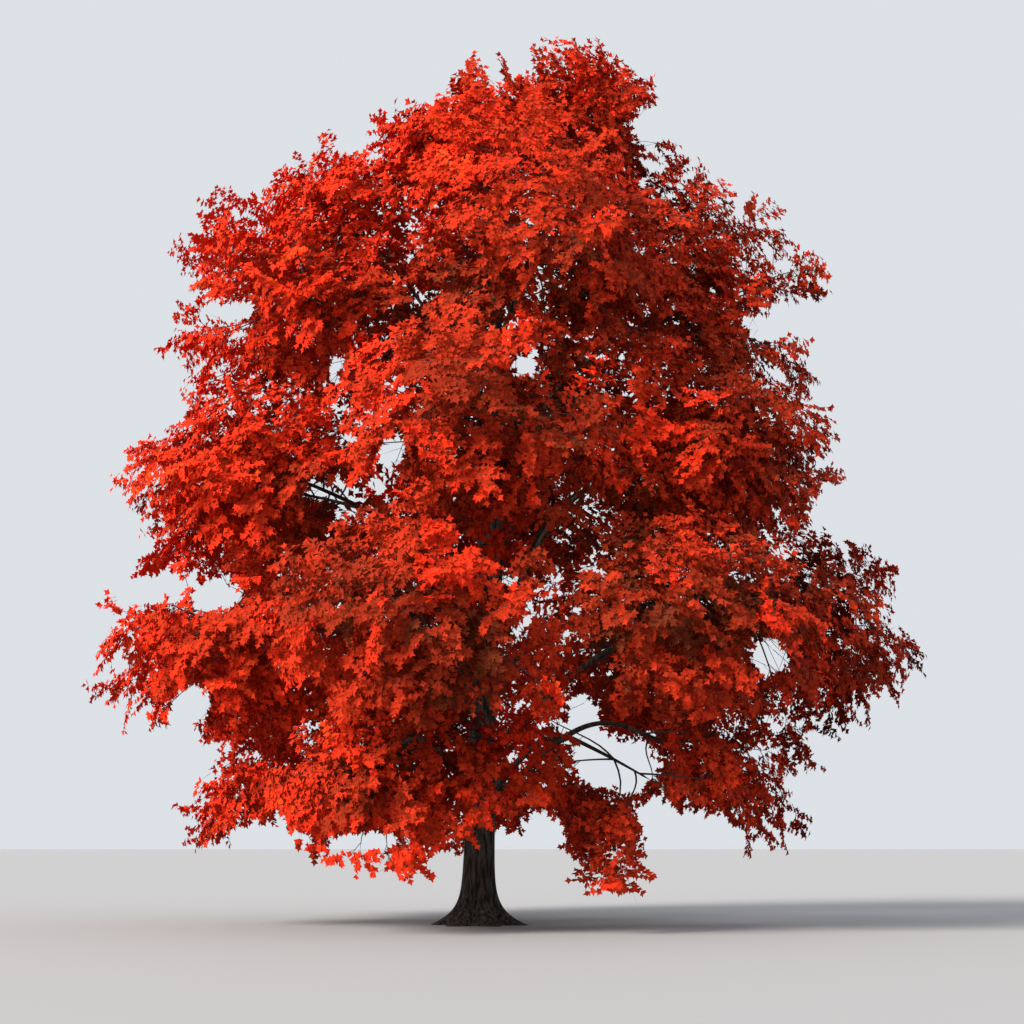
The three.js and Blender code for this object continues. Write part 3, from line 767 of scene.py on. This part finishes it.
def grow_twigs(mass):
    """The stem of a mass, its twigs (at, heads, reach, spray length, draw number) and how many of them
    are regular. The stem is a quadratic curve. A twig leans off it less the farther out it starts,
    stretched as the space is, and is left out where its end or its run lies in a gap."""
    foot, arrives, thick = tips[mass.name]
    stem_tip = mass.middle + STEM_OUT * mass.half[0] * mass.out
    controls = [foot, foot + arrives * STEM_HOLD * np.linalg.norm(stem_tip - foot), stem_tip]
    path = bezier(controls, np.linspace(0, 1, STEM_POINTS))
    stem = tapering(path[None], thick, WOOD_TIP_SHARE, STEM_SIDES)
    count = round(mass.tier["twigs"] * FINER)
    k = np.arange(count + 1)
    along = np.append(lerp(FIRST_TWIG, LAST_TWIG, k[:-1] / (count - 1)), 1.0)
    turn = np.radians(360 * draw(mass.seed, DRAWS["turn"]) + GOLDEN_ANGLE * k)
    lean = np.radians(lerp(TWIG_LEAN, LAST_TWIG_LEAN, along))
    lean[-1] = 0
    out, side, up = mass.half
    heads = unit(
        mass.out * np.cos(lean)[:, None]
        + mass.side * (side / out * np.sin(lean) * np.cos(turn))[:, None]
        + mass.up * (up / out * np.sin(lean) * np.sin(turn))[:, None]
    )
    at = bezier(controls, along)
    length = SPRAY_LENGTH * (1 + SPRAY_VARY * lerp(-1, 1, draw(mass.seed, DRAWS["length"] + k)))
    room = mass.room_along(at, heads)
    reach = np.maximum(SHORTEST_TWIG * room, room - TWIG_SHORT * length)
    for _ in range(LOBE_STEPS):
        reach = reach + LOBE_REACH * in_a_lobe(at + heads * (reach + LOBE_REACH)[:, None])
    fits = holds(mass, at + heads * reach[:, None])
    fits &= ~in_a_gap(at + heads * (TWIG_MOST * reach)[:, None], WIDE_GAP)
    for part in TWIG_CHECKS:
        fits &= ~in_a_gap(on_twig(at, heads, reach, part), share=TWIG_CLEAR)
    regular = [kind[fits] for kind in (at, heads, reach, length, k)]
    extra = EXTRA_TWIGS[nearest_mass == mass.seed - 1]
    start = bezier(controls, np.full(len(extra), EXTRA_START))
    led = [start, unit(extra - start), np.linalg.norm(extra - start, axis=1),
           np.full(len(extra), SPRAY_LENGTH), count + 1 + np.arange(len(extra))]
    return stem, [np.concatenate(kinds) for kinds in zip(regular, led)], len(regular[0])


print("twigs led to places", len(EXTRA_TWIGS), "in", len(set(nearest_mass.tolist())), "masses")

# %% [markdown]
# Maples branch in opposite pairs, and each pair stands crosswise to the one before it. So a twig
# carries three pairs of sprays and one more at its end. They droop, and are shortened or left out
# where they would leave the space or close a gap.

# %% Where sprays grow
PAIR_SHARES = np.array([0.92, 0.66, 0.40])
PAIR_STEP = 0.03
PAIR_LEANS = np.radians([50, 60, 68])
LEADER_SHARE = 0.97
LEADER_LENGTH = 0.6
SPRAY_TRIES = (1.0, 0.82, 0.64)
SPRAY_CHECKS = (0.35, 0.8)
GAP_HEART = 0.75


def turned(vectors, axes, angle):
    """Vectors turned about unit axes by an angle (Rodrigues' formula)."""
    c, s = np.cos(angle)[..., None], np.sin(angle)[..., None]
    dots = (vectors * axes).sum(-1, keepdims=True)
    return vectors * c + np.cross(axes, vectors) * s + axes * dots * (1 - c)


def grow_sprays(mass, at, heads, reach, length, k, regular):
    """The sprays on the twigs of a mass: root, direction, length, twig, and share of the twig. A pair
    leans off its twig to both sides and droops with its level part. Only the sprays of the first
    twigs, the regular ones, are held to the space."""
    twig = np.arange(len(at))
    end = np.full(len(at), LEADER_SHARE)
    grown = [(on_twig(at, heads, reach, end), heads, LEADER_LENGTH * length, twig, end)]
    side = turned(unit(np.cross(UP, heads)), heads, np.pi * draw(mass.seed, DRAWS["roll"] + k))
    for share, lean in zip(PAIR_SHARES, PAIR_LEANS):
        for hand in (1, -1):
            here = np.full(len(at), share + PAIR_STEP * hand)
            direction = heads * np.cos(lean) + hand * side * np.sin(lean)
            grown.append((on_twig(at, heads, reach, here), direction, length, twig, here))
        side = np.cross(heads, side)
    roots, directions, lengths, twig, shares = (np.concatenate(kinds) for kinds in zip(*grown))
    level = np.linalg.norm(directions[:, :2], axis=-1, keepdims=True)
    directions = unit(directions - UP * mass.tier["droop"] * level)
    kept = np.zeros(len(roots), bool)
    for tried in SPRAY_TRIES:
        ends = roots + directions * (lengths * tried)[:, None]
        fits = ~kept & (holds(mass, ends) | (twig >= regular))
        lengths = np.where(fits, lengths * tried, lengths)
        kept |= fits
    for part in SPRAY_CHECKS:
        kept &= ~in_a_gap(roots + directions * (part * lengths)[:, None], WIDE_GAP)
    kept &= ~in_a_gap(roots + directions * (0.5 * lengths)[:, None], share=GAP_HEART)
    return [kind[kept] for kind in (roots, directions, lengths, twig, shares)]


stem_parts, twigs, sprays, owner = [], [], [], []
twig_count = 0
for number, mass in enumerate(masses):
    stem, grown, regular = grow_twigs(mass)
    spray = grow_sprays(mass, *grown, regular)
    spray[3] = spray[3] + twig_count
    stem_parts.append(stem)
    twigs.append(grown[:3])
    sprays.append(spray)
    owner.append(np.full(len(spray[0]), number))
    twig_count += len(grown[0])
twig_at, twig_heads, twig_reach = (np.concatenate(kinds) for kinds in zip(*twigs))
roots, directions, lengths, twig_of, share_of = (np.concatenate(kinds) for kinds in zip(*sprays))
owner = np.concatenate(owner)
print("twigs", twig_count, "sprays", len(roots), "per mass", np.bincount(owner).tolist())

# %% [markdown]
# A spray is a flat fan about a metre long: a thin axis with opposite twiglets, longest near the
# foot, and one twiglet that ends the axis. Fans lie over each other like tiles, facing up and away
# from the trunk, which is what gives a maple its lit shelves with dark between them. So a fan's
# upper side leans outwards, with some disorder from a seeded generator.

# %% Fans of twiglets
TILE = 0.85
ROLL_JITTER = 0.70
AXIS_SAG = 0.10
TWIGLETS = np.linspace(0.14, 0.88, 4)
TWIGLET_LEAN = math.radians(50)
LENGTH_VARIES = (0.8, 1.1)
LEAN_VARIES = (0.85, 1.15)
TWIGLET_HANG = 0.12
FAN_WIDTH = 0.54
FAN_END = 0.28
FAN_BUSHY = 0.32
END_TWIGLET_FROM = 0.55
END_TWIGLET_SHARE = 0.98

outward = roots - trunk_axis(np.clip(roots[:, 2], 0, TRUNK_TOP))
outward = unit(outward * [1, 1, 0] + 1e-6)
faces_up = unit(UP + TILE * outward + ROLL_JITTER * rng.normal(size=roots.shape))
fan_side = unit(np.cross(faces_up, directions))
fan_top = np.cross(directions, fan_side)


def on_axis(share):
    """Points at a share of each spray's axis, which sags by the square of the share."""
    share = np.broadcast_to(share, lengths.shape)
    down = AXIS_SAG * lengths * share**2
    return roots + directions * (lengths * share)[:, None] - UP * down[:, None]


foot, tip, foot_share = [], [], []
for share in TWIGLETS:
    for hand in (1, -1):
        reach = lengths * FAN_WIDTH * (1 - share) ** FAN_END * rng.uniform(*LENGTH_VARIES, len(roots))
        lean = TWIGLET_LEAN * rng.uniform(*LEAN_VARIES, len(roots))
        heads = directions * np.cos(lean)[:, None] + hand * fan_side * np.sin(lean)[:, None]
        heads = unit(heads + FAN_BUSHY * rng.normal(size=roots.shape) - TWIGLET_HANG * UP)
        foot.append(on_axis(share))
        foot_share.append(share)
        tip.append(foot[-1] + heads * reach[:, None])
foot.append(on_axis(END_TWIGLET_FROM))
foot_share.append(END_TWIGLET_SHARE)
tip.append(on_axis(1.0))
foot, tip, foot_share = np.stack(foot, axis=1), np.stack(tip, axis=1), np.array(foot_share)
shut = ~in_a_gap(tip) & ~in_a_gap(lerp(foot, tip, 0.5), share=GAP_HEART)
print("twiglets", int(shut.sum()))

# %% [markdown]
# Leaves stand in pairs along each twiglet, with one more at its tip. They are closer together at
# the outside of the crown than deep inside, where they are in the shade.

# %% Where leaves can grow
LEAF_SPACING = 0.082
INSIDE_SPACING = 0.150
FIRST_PAIR = 0.6
BEFORE_TIP = 0.02
LEAF_PAIRS = 8
LEAF_LEAN = math.radians(52)
CROWN_HEIGHTS = [0.7, 2.95, 5.5, 8.8, 11.7, 14.0, 16.5, 18.2]
CROWN_REACH = [5.0, 6.2, 8.1, 7.4, 6.9, 5.2, 3.2, 0.8]
DEEP_INSIDE = 0.58

spray_tip = roots + directions * lengths[:, None]
from_trunk = np.linalg.norm(spray_tip[:, :2], axis=1)
inside = from_trunk < DEEP_INSIDE * np.interp(spray_tip[:, 2], CROWN_HEIGHTS, CROWN_REACH)

run = tip - foot
reach = np.linalg.norm(run, axis=-1)
spacing = np.where(inside, INSIDE_SPACING, LEAF_SPACING)
steps = spacing[:, None] * (np.arange(LEAF_PAIRS) + FIRST_PAIR)
there = (steps[:, None] < reach[..., None] - BEFORE_TIP) & shut[..., None]
spray_of, twiglet_of, pair_of = (np.repeat(kind, 2) for kind in np.nonzero(there))
hand = np.tile([1.0, -1.0], len(spray_of) // 2)
ahead = unit(run[spray_of, twiglet_of])
leaf_at = foot[spray_of, twiglet_of] + ahead * steps[spray_of, pair_of][:, None]
sideways = np.cross(fan_top[spray_of], ahead)
points_to = ahead * np.cos(LEAF_LEAN) + (hand * np.sin(LEAF_LEAN))[:, None] * sideways

end_spray, end_twiglet = np.nonzero(shut)
leaves = [np.concatenate(kinds) for kinds in (
    (leaf_at, tip[shut]), (points_to, unit(run)[shut]),
    (spray_of, end_spray), (twiglet_of, end_twiglet),
)]
print("leaves before any is left out", len(leaves[0]))

# %% [markdown]
# Leaves are left out where they would pass the tree's size, touch the trunk or close an opening.
# So are lone leaves: those with few others round them, and the last one or two of a twiglet that
# has lost the rest.

# %% Which leaves stay
REACH_OVER = 0.25
CLEAR_OF_TRUNK = 0.1
CROWD_CELL = 0.25
LEAST_CROWD = 20
LEAST_LEAVES = 3


def in_crown(places):
    """Whether places lie within the solids' box and a little over, above the lowest leaf, clear of
    the trunk and out of the gaps."""
    lowest, highest = (np.array(corner) for corner in solid_box)
    height = places[:, 2]
    in_reach = ((places > lowest - REACH_OVER) & (places < highest + REACH_OVER)).all(axis=1)
    away = np.linalg.norm((places - trunk_axis(np.clip(height, 0, TRUNK_TOP)))[:, :2], axis=1)
    clear = (height > LOWEST_LEAF) & (away > bole_radius(height) + CLEAR_OF_TRUNK)
    return in_reach & clear & ~in_a_gap(places)


def crowd_round(points):
    """How many of the points lie in the 27 cubes round each one: they are counted on a grid of cubes,
    and each count is summed with its neighbours' along the three axes in turn."""
    cube = np.floor((points - points.min(axis=0)) / CROWD_CELL).astype(int) + 1
    counts = np.zeros(cube.max(axis=0) + 2)
    np.add.at(counts, tuple(cube.T), 1)
    for axis in range(3):
        counts = counts + np.roll(counts, 1, axis) + np.roll(counts, -1, axis)
    return counts[tuple(cube.T)]


def only(fits, kinds):
    """The same choice from each of several arrays."""
    return [kind[fits] for kind in kinds]


leaves = only(in_crown(leaves[0]), leaves)
leaves = only(crowd_round(leaves[0]) >= LEAST_CROWD, leaves)
on_twiglet = np.zeros(shut.shape, int)
np.add.at(on_twiglet, (leaves[2], leaves[3]), 1)
leaves = only(on_twiglet[leaves[2], leaves[3]] >= LEAST_LEAVES, leaves)
leaf_at, points_to, spray_of, twiglet_of = leaves
print("leaves", len(leaf_at))

# %% [markdown]
# Only wood that carries leaves is drawn. A twiglet ends at its last leaf, a spray's axis at its last
# twiglet and a twig at its last spray, so bare wood crosses an opening only where leaves hang beyond
# it.

# %% Wood of the sprays
TWIG_POINTS, TWIG_SIDES = 9, 5
TWIG_RADIUS = 0.020
AXIS_POINTS, AXIS_SIDES = 3, 3
AXIS_RADIUS = 0.007
AXIS_TIP_SHARE = 0.5
TWIGLET_RADIUS = 0.0042

along = np.linalg.norm(leaf_at - foot[spray_of, twiglet_of], axis=-1)
last_leaf = np.zeros(shut.shape)
np.maximum.at(last_leaf, (spray_of, twiglet_of), along)
bears = last_leaf > 0
ends = foot + unit(run) * last_leaf[..., None]
paths = np.stack([foot[bears], ends[bears]], axis=1)
twiglet_parts = tapering(paths, TWIGLET_RADIUS, AXIS_TIP_SHARE, AXIS_SIDES)

axis_end = (bears * foot_share).max(axis=1)
bears = axis_end > 0
paths = np.stack([on_axis(axis_end * share)[bears] for share in np.linspace(0, 1, AXIS_POINTS)], axis=1)
axis_parts = tapering(paths, AXIS_RADIUS, AXIS_TIP_SHARE, AXIS_SIDES)

twig_end = np.zeros(twig_count)
np.maximum.at(twig_end, twig_of, share_of * bears)
bears = twig_end > 0
paths = np.stack([on_twig(twig_at, twig_heads, twig_reach, twig_end * share)[bears]
                  for share in np.linspace(0, 1, TWIG_POINTS)], axis=1)
twig_parts = tapering(paths, TWIG_RADIUS, WOOD_TIP_SHARE, TWIG_SIDES)

mass_nodes = ["leaves_" + mass.name for mass in masses]
piece("stems_and_twigs", *joined(stem_parts + [twig_parts, axis_parts]), twig_bark, "bark", mass_nodes)
piece("twiglets", *twiglet_parts, twig_bark, "bark", mass_nodes)

# %% [markdown]
# A red maple's leaf has three main lobes. This one is a fan of four triangles from the foot of the
# blade: two side lobes and the long middle one, with a notch on each side of it. The halves fold up
# from the midrib, and the tip bends down. A leaf hangs a little, and faces up, outwards and away
# from the middle of its mass, each a bit differently. All leaves share the outline, so one product
# of arrays places all their corners.

# %% Leaf corners
LEAF_OUTLINE = np.array([(0, 0), (0.50, 0.50), (0.62, 0.18), (1.0, 0.0), (0.62, -0.18), (0.50, -0.50)])
LEAF_TRIANGLES = np.array([(0, i, i + 1) for i in range(1, len(LEAF_OUTLINE) - 1)])
LEAF_LENGTH = 0.135
SHADE_LEAF = 1.25
SIZE_VARIES = (0.78, 1.14)
LEAF_FOLD = 0.20
FOLD_VARIES = (0.2, 1.6)
LEAF_BEND = 0.10
LEAF_HANG = 0.45
LEAF_JITTER = 0.40
POINT_JITTER = 0.25
FACES_FAN, FACES_OUT, FACES_BULGE, FACES_UP = 0.50, 0.35, 0.60, 0.15

mass_middle = np.stack([mass.middle for mass in masses])[owner]
mass_half = np.stack([mass.half.mean() for mass in masses])[owner]
bulges = (leaf_at - mass_middle[spray_of]) / mass_half[spray_of][:, None]
normal = unit(
    FACES_FAN * fan_top[spray_of] + FACES_OUT * outward[spray_of] + FACES_BULGE * bulges
    + FACES_UP * UP + LEAF_JITTER * rng.normal(size=leaf_at.shape)
)
points_to = points_to - LEAF_HANG * UP + POINT_JITTER * rng.normal(size=leaf_at.shape)
points_to = unit(points_to - (points_to * normal).sum(-1, keepdims=True) * normal)
leaf_side = np.cross(normal, points_to)
size = LEAF_LENGTH * rng.uniform(*SIZE_VARIES, len(leaf_at)) * np.where(inside[spray_of], SHADE_LEAF, 1)
fold = LEAF_FOLD * rng.uniform(*FOLD_VARIES, len(leaf_at))
lift = np.abs(LEAF_OUTLINE[:, 1])[None, :] * fold[:, None] - LEAF_BEND * LEAF_OUTLINE[None, :, 0] ** 2
leaf_points = (
    leaf_at[:, None]
    + size[:, None, None] * (
        LEAF_OUTLINE[None, :, :1] * points_to[:, None]
        + LEAF_OUTLINE[None, :, 1:] * leaf_side[:, None]
        + lift[..., None] * normal[:, None]
    )
)
print("leaf length from", round(size.min(), 3), "to", round(size.max(), 3), "m")

# %% [markdown]
# Light and shade are painted into the autumn tints. Every spray gets a tone from where it stands:
# the sunny left and top of the crown are painted light, scarlet with some orange, and so are the
# outside and top of each mass and the low skirt; the right is painted shade, crimson, and what lies
# deep inside is painted shade, dull and brownish. Broad patches and a little chance are the tints'
# own change, and a dozen places that lie in shade are painted darker still.

# %% The tone of each spray, with painted light and shade
TONE_MIDDLE = 2.25
WAIST = 8
# painted shade to the right, growing above the waist, and painted light towards the top
PAINTED_SHADE_RIGHT = 0.16
PAINTED_SHADE_RIGHT_HIGH = 0.012
PAINTED_LIGHT_HIGH = 0.03
PATCH_WAVES = 12
PATCH_SIZES = (1.6, 4.0)
PATCH_CHANGE = 0.45
# painted shade deep inside the crown, below its top
PAINTED_SHADE_INSIDE = 1.5
INSIDE_REACH = 4.5
INSIDE_TOP, INSIDE_FADES = 15, 4
SPRAY_CHANGE = 0.30
# painted light at the outside and the top of each mass, and low in the skirt
PAINTED_LIGHT_OUT = 1.1
MASS_SKIN = 0.85
PAINTED_LIGHT_ON_TOP = 0.35
PAINTED_LIGHT_SKIRT = 0.4
SKIRT_TOP, SKIRT_FADES = 4, 2
BRIGHTEST = 3.25
# painted shade in a dozen places of the crown that lie in shade
PAINTED_SHADE = 1.2
PAINTED_SHADE_PLACES = np.array([
    (-2.6, 6.9, 1.6, 1.3), (-0.3, 5.3, 1.0, 1.3), (1.9, 10.4, 1.1, 1.0), (-3.6, 8.6, 1.0, 0.6),
    (-1.5, 12.9, 1.5, 0.7), (4.6, 6.0, 1.2, 0.8), (-2.9, 2.6, 1.0, 0.6), (-0.8, 11.6, 1.3, 1.4),
    (1.9, 13.0, 0.6, 0.7), (2.4, 7.6, 1.2, 0.9), (2.6, 6.2, 1.1, 0.8), (-3.6, 5.9, 0.8, 0.6),
])

x, z = spray_tip[:, 0], spray_tip[:, 2]
patches = np.zeros(len(roots))
for wave in range(PATCH_WAVES):
    runs = unit(rng.normal(size=3)) * 2 * math.pi / rng.uniform(*PATCH_SIZES)
    patches = patches + np.sin(spray_tip @ runs + rng.uniform(0, 2 * math.pi)) / math.sqrt(PATCH_WAVES)
far_in = np.clip(1 - from_trunk / INSIDE_REACH, 0, 1) * np.clip((INSIDE_TOP - z) / INSIDE_FADES, 0, 1)
from_mass = (spray_tip - mass_middle) / mass_half[:, None]
out_in_mass = np.linalg.norm(from_mass, axis=1)
# the tone paints light and shade from where a spray stands; only the patches and the chance are the tints'
# own change
tone = TONE_MIDDLE - (PAINTED_SHADE_RIGHT + PAINTED_SHADE_RIGHT_HIGH * (z - WAIST)) * x + PAINTED_LIGHT_HIGH * (z - WAIST)
tone = tone + PATCH_CHANGE * patches - PAINTED_SHADE_INSIDE * far_in + SPRAY_CHANGE * rng.normal(size=len(roots))
tone = tone + PAINTED_LIGHT_OUT * (out_in_mass - MASS_SKIN) + PAINTED_LIGHT_ON_TOP * from_mass[:, 2]
tone = np.minimum(tone + PAINTED_LIGHT_SKIRT * np.clip((SKIRT_TOP - z) / SKIRT_FADES, 0, 1), BRIGHTEST)
# painted shade over the places that lie in shade
tone = tone - PAINTED_SHADE * (ellipse_sums(spray_tip, PAINTED_SHADE_PLACES) < 1).any(axis=-1)
print("tone from", round(tone.min(), 2), "to", round(tone.max(), 2))

# %% [markdown]
# The tone of a spray, with a small change for each twiglet, is rounded to one of five tints. Scarlet
# and orange paint the lit leaves; red, crimson and dusky are darker copies, dusky also browner, that
# paint shade. Where patches and chance decide the tint, it is the leaves' own change. A tint is one
# plain colour, so no picture is needed, and the leaves of a tint are joined into pieces.

# %% Tints, painted shades and leaf pieces
# scarlet and orange paint the lit leaves; red, crimson and dusky are darker copies that paint shade
TINTS_AND_SHADES = {
    "dusky": ((0.13, 0.019, 0.006, 1), "crimson_leaves"),
    "crimson": ((0.27, 0.021, 0.006, 1), "crimson_leaves"),
    "red": ((0.44, 0.026, 0.007, 1), "red_leaves"),
    "scarlet": ((0.62, 0.027, 0.007, 1), "scarlet_leaves"),
    "orange": ((0.66, 0.052, 0.009, 1), "scarlet_leaves"),
}
TWIGLET_CHANGE = 0.22
LEAF_ROUGHNESS = 0.75
LEAF_GLOSS = 0.05
MOST_LEAVES = 49000

tone = tone[:, None] + TWIGLET_CHANGE * rng.normal(size=shut.shape)
# the tone picks a tint: the darker ones are painted shade, the lighter ones painted light
tint_and_shade_of = np.clip(np.round(tone), 0, len(TINTS_AND_SHADES) - 1).astype(int)
print("tints", dict(zip(TINTS_AND_SHADES, np.bincount(tint_and_shade_of.ravel(), minlength=len(TINTS_AND_SHADES)).tolist())))

for number, (tint, (colour, slot)) in enumerate(TINTS_AND_SHADES.items()):
    material = plain_material(tint + "_leaf", colour, LEAF_ROUGHNESS)
    shader = material.node_tree.nodes["Principled BSDF"]
    shader.inputs["Specular IOR Level"].default_value = LEAF_GLOSS
    chosen = np.nonzero(tint_and_shade_of[spray_of, twiglet_of] == number)[0]
    parts = max(1, math.ceil(len(chosen) / MOST_LEAVES))
    for part, some in enumerate(np.array_split(chosen, parts)):
        corners = leaf_points[some].reshape(-1, 3)
        starts = len(LEAF_OUTLINE) * np.arange(len(some))
        triangles = (LEAF_TRIANGLES[None] + starts[:, None, None]).reshape(-1, 3)
        nodes = sorted({mass_nodes[o] for o in owner[np.unique(spray_of[some])]})
        piece(f"{tint}_leaves_{part + 1}", corners, triangles, material, slot, nodes, smooth=False)
